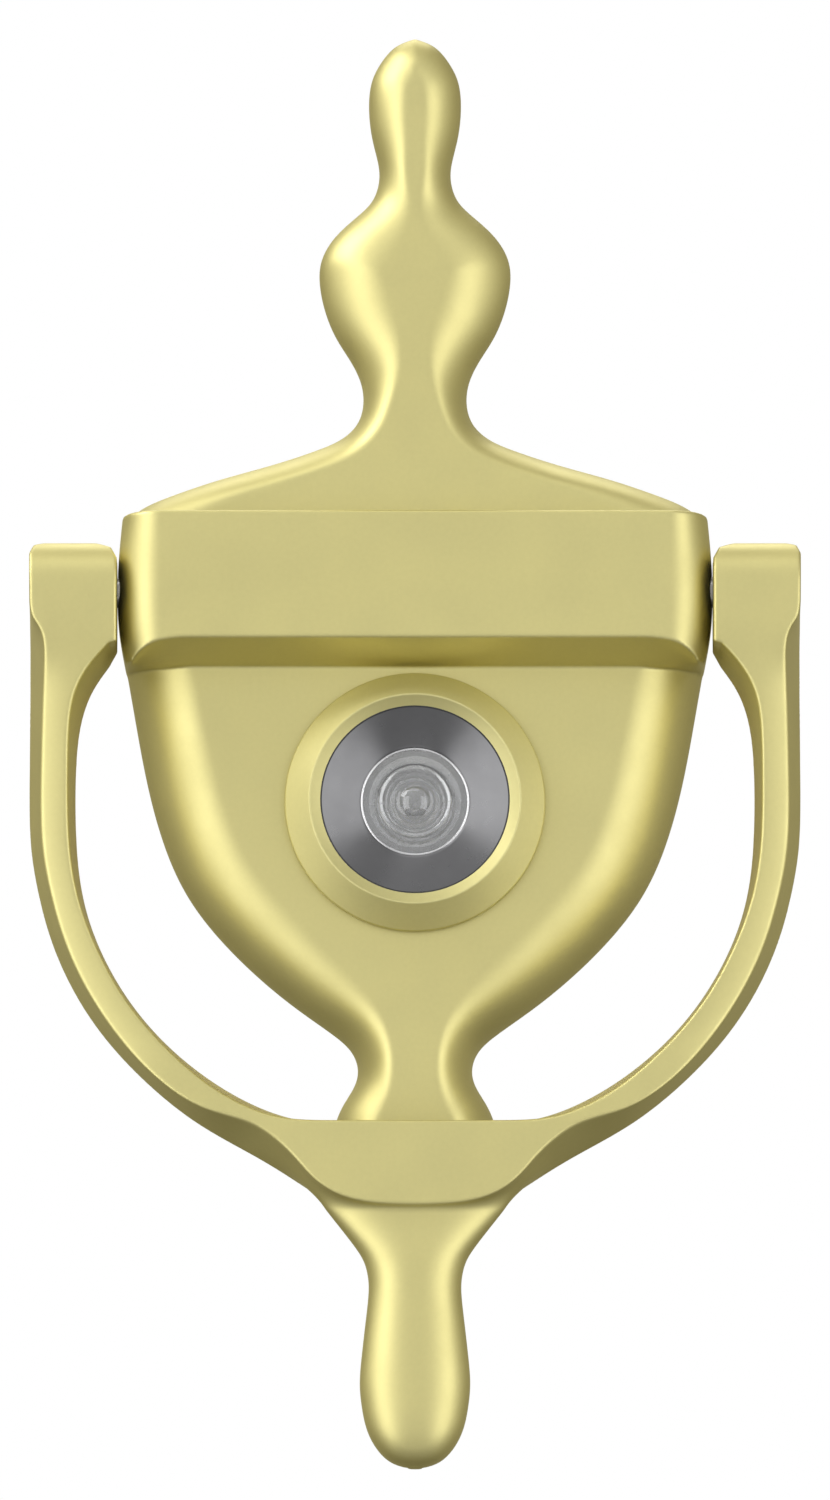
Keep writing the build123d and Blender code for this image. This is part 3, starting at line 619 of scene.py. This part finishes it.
bright_alloy = plain_metal(
    "bright_alloy", (0.82, 0.82, 0.83), (0.76, 0.76, 0.77), (0.22, 0.32), (1, 5, 1), 900.0,
)


def dress(piece, material, body, slot, *nodes):
    """Gives a piece its material, the body that it moves with, and the CAD nodes that it stands for."""
    piece.data.materials.clear()
    piece.data.materials.append(material)
    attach(piece, body)
    if nodes:
        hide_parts(*nodes)
    return piece


# ======================================================================================
# The plate and the knocker
# ======================================================================================
urn = casting("urn_plate_casting", urn_field, 39.5, (0, 17.5), (-50, 103), URN_PITCH)
dress(urn, brass_plate, "plate", "satin_brass", "urn_plate")
stirrup = casting("knocker_casting", knocker_field, 51, (3, 20.5), (-88.5, 35), KNOCKER_PITCH)
dress(stirrup, brass_knocker, "knocker", "satin_brass", "knocker")

stud = turned("strike_stud_turned", [
    (0, -12.9), *arc((1.9, -11.6), 1.3, 270, 360, 6), (3.2, -10.0), (1.5, -10.0), (1.5, -4.0), (0, -4.0),
], along_y(0, STUD_Z), 64)
dress(stud, brass_turned, "plate", "satin_brass", "strike_stud")

(recess_radius, recess_end), (hole_radius, hole_end) = BUSH_RECESS, BUSH_HOLE
for side, hand in ((1, "right"), (-1, "left")):
    pin = turned("pivot_pin_" + hand + "_steel", [
        (0, side * 29.0), (1.7, side * 29.0), (2.0, side * 29.3), (2.0, side * 49.7), (1.7, side * 50.0),
        (0.5, side * 50.1), (0, side * 50.1),
    ], along_x(PIVOT_D, PIVOT_Z), 48, 0.05)
    dress(pin, pin_steel, "plate", "steel_pin", "pivot_pin_" + hand)
    bush = turned("pivot_bush_" + hand + "_nylon", [
        (PIN_HOLE_RADIUS, side * 39.0), (recess_radius - 0.1, side * 39.0), (recess_radius, side * 39.1),
        (recess_radius, side * recess_end), (hole_radius, side * recess_end), (hole_radius, side * hole_end),
        (PIN_HOLE_RADIUS, side * hole_end),
    ], along_x(PIVOT_D, PIVOT_Z), 64, 0.04)
    dress(bush, nylon, "knocker", "nylon", "pivot_bush_" + hand)

# ======================================================================================
# The viewer's outer half
# ======================================================================================
ring = turned("viewer_ring", [
    (6.05, -1.0), (6.6, -1.0), (6.6, -10.0), (16.5, -10.0), (16.5, -10.22), (17.05, -10.22),
    (17.05, -10.55), *arc((16.65, -10.75), 0.4, 0, -70, 4), (13.95, -14.33),
    *arc((13.78, -14.2), 0.2, -60, -140, 4), (12.35, -13.5), (12.35, -13.05), (7.7, -11.05),
    (7.5, -11.05), (7.5, -10.4), (6.05, -10.4),
])
dress(ring, brass_turned, "plate", "viewer_brass", "viewer_outer_barrel")
shank = screw_thread("viewer_shank_thread", 7.0, 1.0, 0.5, -0.9, 30.0, bore=6.05, around=96)
dress(shank, brass_turned, "plate", "viewer_brass")
cup = turned("lens_cup_turned", [
    (7.08, -11.0), (7.7, -11.0), (12.33, -13.0), (12.33, -13.48), (7.45, -11.42), (7.2, -11.3),
    (7.08, -11.2),
])
dress(cup, cup_black, "plate", "dark_cup", "lens_cup")

sleeve = turned("lens_seat_sleeve", [
    (5.97, 1.4), (6.04, 1.4), (6.04, -10.39), (7.46, -10.39), (7.46, -10.43), (5.97, -10.43),
])
dress(sleeve, bright_alloy, "plate", "zinc_steel")
bead = turned("lens_bezel_bead", arc((6.98, -11.1), 0.17, 0, 345, 23))
dress(bead, bright_alloy, "plate", "zinc_steel")
# A thin black ring where the cup meets the viewer ring: painted shadow for the dark gap between them, not a
# real seal.
shadow_gap_ring = turned("cup_painted_shadow_ring", arc((12.32, -13.42), 0.13, 0, 340, 17))
dress(shadow_gap_ring, black_plastic, "plate", "black_plastic")
shade = turned("lens_seat_shade", [
    (6.0, -10.46), (7.44, -10.46), (7.44, -10.55), (6.0, -10.55),
])
dress(shade, cup_black, "plate", "dark_cup")
front_glass = turned("front_lens_glass", [
    (0, -12.6), (0.5, -12.57), (1.0, -12.46), (1.5, -12.22), (1.9, -11.9), (2.2, -11.68), (2.6, -11.6),
    (3.6, -11.56), (4.25, -11.58), (4.45, -11.72), (4.62, -11.78), (4.8, -11.7), (4.95, -11.5),
    (5.7, -11.36), (6.78, -11.1), (7.4, -11.0), (7.4, -10.62), (5.95, -10.57), (5.95, -7.4),
    (4.7, -7.4), (4.62, -9.4), (4.35, -10.3), (3.4, -10.8), (1.8, -10.97), (0, -11.0),
])
dress(front_glass, front_optic, "plate", "lens_glass", "front_lens")
spacer = turned("lens_spacer_ring", [
    (4.7, -6.6), (4.85, -7.2), (5.0, -7.35), (5.93, -7.35), (5.93, -5.45), (5.0, -5.45), (4.7, -5.7),
], around=96)
dress(spacer, bright_alloy, "plate", "zinc_steel", "lens_spacer")
second_glass = turned("second_lens_glass", [
    (0, -6.7), (0.9, -6.5), (1.7, -5.95), (2.3, -5.1), (2.65, -4.3), (2.85, -4.08), (3.2, -4.05),
    (4.4, -4.3), (4.9, -5.3), (5.93, -5.38), (5.93, -3.0), (0, -3.0),
], around=96)
dress(second_glass, front_optic, "plate", "lens_glass", "second_lens")
retainer = turned("lens_retainer_ring", [
    (4.6, -2.95), (5.93, -2.95), (5.93, -0.85), (4.9, -0.85), (4.6, -1.2),
], around=96, edge=0.08)
dress(retainer, bright_alloy, "plate", "zinc_steel", "lens_retainer")

# ======================================================================================
# The viewer's inner half, its washer and its cover
# ======================================================================================
washer = turned("inner_fibre_washer", [
    (6.35, 44.02), (13.95, 44.02), (13.95, 44.58), (6.35, 44.58),
], edge=0.08)
dress(washer, fibre, "screw_travel", "fibre", "inner_washer")
inner_thread = screw_thread("inner_barrel_thread", 6.0, 1.0, 0.45, 10.0, 43.6, bore=4.8, around=96)
dress(inner_thread, brass_turned, "eyepiece", "viewer_brass")
flange = turned("inner_barrel_flange", [
    (4.8, 43.5), (5.55, 43.5), (5.9, 44.6), (15.0, 44.6), (15.0, 45.75),
    *arc((13.85, 45.8), 1.15, 10, 90, 8), (10.0, 46.95), (9.6, 46.8), (9.2, 46.95), (5.2, 47.0), (4.8, 46.7),
])
cut(
    flange,
    brick("slot_right", (8.2, 45.8, -0.9), (14.2, 48, 0.9)),
    brick("slot_left", (-14.2, 45.8, -0.9), (-8.2, 48, 0.9)),
)
dress(flange, brass_turned, "eyepiece", "viewer_brass", "viewer_inner_barrel")
eye_glass = turned("eyepiece_lens_glass", [
    (0, 41.4), (1.3, 41.45), (2.5, 41.6), (3.7, 41.95), (4.7, 42.4), (4.7, 44.2), (3.6, 44.6),
    (2.5, 44.9), (1.3, 45.05), (0, 45.1),
], around=96)
dress(eye_glass, glass, "eyepiece", "lens_glass", "eyepiece_lens")
eye_ring = turned("eyepiece_retainer_ring", [
    (3.65, 45.25), (4.75, 44.45), (4.75, 46.78), (4.1, 46.8), (3.9, 46.6),
], around=96, edge=0.06)
dress(eye_ring, black_plastic, "eyepiece", "black_plastic", "eyepiece_retainer")
RIVET_Z = 11.4
rivet = turned("cover_rivet_turned", [
    (0, 45.25), (1.25, 45.25), (1.25, 48.45), (2.4, 48.45), (2.4, 48.75),
    *arc((1.85, 48.75), 0.55, 0, 90, 6), (0, 49.3),
], along_y(0, RIVET_Z), 48)
dress(rivet, brass_turned, "eyepiece", "viewer_brass", "cover_rivet")

# The cover's outline: a disc, an eye round the rivet above it and a tab below it.
DISC_RADIUS, EYE_RADIUS, TAB_RADIUS, TAB_Z, TAB_HALF_ANGLE = 7.6, 3.0, 2.6, -8.2, 0.32


def along_arc(radius, centre_z, start, end, count):
    """Points (x, z) along an arc of the cover's outline; angles in radians."""
    return [(radius * cos(t), centre_z + radius * sin(t)) for t in np.linspace(start, end, count)]


meet = asin((DISC_RADIUS - EYE_RADIUS) / RIVET_Z)
outline = along_arc(DISC_RADIUS, 0, pi * 1.5 + TAB_HALF_ANGLE, 2 * pi + meet, 40)
outline += along_arc(EYE_RADIUS, RIVET_Z, meet, pi - meet, 24)
outline += along_arc(DISC_RADIUS, 0, pi - meet, pi * 1.5 - TAB_HALF_ANGLE, 40)
outline += along_arc(TAB_RADIUS, TAB_Z, pi * 1.12, pi * 1.88, 20)
lid = slab("privacy_cover_stamped", outline, 47.32, 48.28, [(0, RIVET_Z, 1.3)], 0.22)
dress(lid, brass_pressed, "cover", "viewer_brass", "privacy_cover")

# ======================================================================================
# The two fixing bolts, each with its washer and cap
# ======================================================================================
for name, bolt_z, depth in BOLTS:
    bolt = turned(name + "_bolt_head", [
        (0, 43.6), (2.2, 43.6), (2.25, 45.0), (4.5, 45.0), (4.5, 46.3),
        *arc((3.05, 46.35), 1.45, 0, 80, 8), (0, 47.8),
    ], along_y(0, bolt_z), 72)
    cut(
        bolt,
        brick("cross_one", (-2.5, 46.2, bolt_z - 0.5), (2.5, 49, bolt_z + 0.5)),
        brick("cross_two", (-0.5, 46.2, bolt_z - 2.5), (0.5, 49, bolt_z + 2.5)),
    )
    dress(bolt, zinc_steel, "plate", "zinc_steel", name + "_fixing_bolt")
    rod = screw_thread(name + "_bolt_thread", 2.45, 0.8, 0.4, 0.5 - depth, 43.7, centre_z=bolt_z, around=40)
    dress(rod, zinc_steel, "plate", "zinc_steel")
    seat = turned(name + "_bolt_washer_turned", [
        (2.7, 44.0), (6.95, 44.0), (6.95, 44.98), (2.7, 44.98),
    ], along_y(0, bolt_z), 72, 0.1)
    dress(seat, zinc_steel, "plate", "zinc_steel", name + "_bolt_washer")
    cap = turned(name + "_bolt_cap_pressed", [
        (8.0, 44.0), (8.0, 46.6), *arc((5.0, 46.6), 3.0, 10, 80, 8), (4.4, 49.6), (0, 49.6), (0, 48.9),
        (4.2, 48.9), (5.9, 48.4), (7.1, 46.6), (7.2, 44.0),
    ], along_y(0, bolt_z), 96, 0.06)
    dress(cap, brass_pressed, "plate", "cap_brass", name + "_bolt_cap")

# ======================================================================================
# Floor, lights and camera
# ======================================================================================
# In metres. The camera is 0.55 m below the object and looks up at it, so the floor is lower still.
FLOOR_REACH, FLOOR_Z = 8, -0.8
floor_mesh = bpy.data.meshes.new("floor")
corners = [(x * FLOOR_REACH, y * FLOOR_REACH, FLOOR_Z) for x, y in ((-1, -1), (1, -1), (1, 1), (-1, 1))]
floor_mesh.from_pydata(corners, [], [(0, 1, 2, 3)])
floor = link("floor", floor_mesh)
pale = Look("pale_floor")
cloud = pale.span(pale.noise(3.0), 0.0, 1.0)
pale.set("Base Color", pale.mix(cloud, (0.80, 0.80, 0.79), (0.83, 0.83, 0.82)))
pale.set("Roughness", pale.span(pale.noise(20.0), 0.7, 0.85))
floor.data.materials.append(pale.material)
floor.visible_glossy = False

# In metres. The lights round the front stand this far from the origin, and all but the floor's look at it.
BOX_DISTANCE = 1.4
AIM = (0, 0, 0)


def softbox(name, place, aim, size, power):
    """A soft rectangular light that looks at aim; it isn't seen by the camera."""
    lamp = bpy.data.lights.new(name, "AREA")
    lamp.shape = "RECTANGLE"
    lamp.size, lamp.size_y = size
    lamp.energy = power
    holder = link(name, lamp)
    holder.location = place
    holder.rotation_euler = (Vector(aim) - Vector(place)).to_track_quat("-Z", "Y").to_euler()
    holder.visible_camera = False


def round_the_front(azimuth, elevation):
    """A place for a light: azimuth to the right and elevation above the front, in degrees."""
    a, e = radians(azimuth), radians(elevation)
    return (BOX_DISTANCE * sin(a) * cos(e), -BOX_DISTANCE * cos(a) * cos(e), BOX_DISTANCE * sin(e))


softbox("left_box", round_the_front(-47, -2), AIM, (0.9, 1.7), 8.6)
softbox("right_box", round_the_front(47, -2), AIM, (0.9, 1.7), 7.4)
softbox("top_box", round_the_front(-8, 68), AIM, (0.9, 0.4), 1.2)
softbox("lower_box", round_the_front(0, -48), AIM, (0.9, 0.3), 0.8)
softbox("back_box", (0, 1.0, 1.3), AIM, (1.0, 0.8), 5.0)
softbox("floor_box", (0, 0, -0.4), (0, 0, -1), (8, 8), 90.0)
softbox("upper_left_box", (-1.0, -0.12, 1.0), AIM, (0.9, 0.9), 10.0)

# The room: brighter in front than behind and above than below, warmer behind, and white to the camera.
WARM_BEHIND, WHITE = (1.0, 0.93, 0.66), (1, 1, 1)
world = bpy.data.worlds.new("studio")
bpy.context.scene.world = world
world.use_nodes = True
nodes, links = world.node_tree.nodes, world.node_tree.links
background = nodes["Background"]
coordinates = nodes.new("ShaderNodeTexCoord")
split = nodes.new("ShaderNodeSeparateXYZ")
links.new(coordinates.outputs["Generated"], split.inputs["Vector"])
backward, upward = split.outputs["Y"], split.outputs["Z"]
to_front = map_range(nodes, links, backward, (0.6, -0.3), (0.36, 0.70), "SMOOTHSTEP")
to_top = map_range(nodes, links, upward, (-0.9, 0.0), (0.55, 1.0), "SMOOTHSTEP")
level = nodes.new("ShaderNodeMath")
level.operation = "MULTIPLY"
links.new(to_front, level.inputs[0])
links.new(to_top, level.inputs[1])
links.new(level.outputs["Value"], background.inputs["Strength"])
tone = nodes.new("ShaderNodeMix")
tone.data_type = "RGBA"
tone.inputs[6].default_value = (*WARM_BEHIND, 1)
tone.inputs[7].default_value = (*WHITE, 1)
links.new(map_range(nodes, links, backward, (0.5, -0.4), (0.0, 1.0)), tone.inputs["Factor"])
links.new(tone.outputs[2], background.inputs["Color"])
seen = nodes.new("ShaderNodeBackground")
seen.inputs["Color"].default_value = (*WHITE, 1)
seen.inputs["Strength"].default_value = 1.0
paths = nodes.new("ShaderNodeLightPath")
choose = nodes.new("ShaderNodeMixShader")
links.new(paths.outputs["Is Camera Ray"], choose.inputs["Fac"])
links.new(background.outputs["Background"], choose.inputs[1])
links.new(seen.outputs["Background"], choose.inputs[2])
links.new(choose.outputs["Shader"], nodes["World Output"].inputs["Surface"])

bpy.context.scene.view_settings.view_transform = "Standard"

camera = link("camera", bpy.data.cameras.new("camera"))
bpy.context.scene.camera = camera
RISE = radians(8.0)  # the camera looks up by this much
DISTANCE = 4.0
TARGET = Vector((0, 0, 0.0084))
forward = Vector((0, cos(RISE), sin(RISE)))
camera.location = TARGET - forward * DISTANCE
camera.rotation_euler = forward.to_track_quat("-Z", "Y").to_euler()
camera.data.sensor_width = 36
camera.data.lens = 731.7
camera.data.clip_start, camera.data.clip_end = 0.05, 20
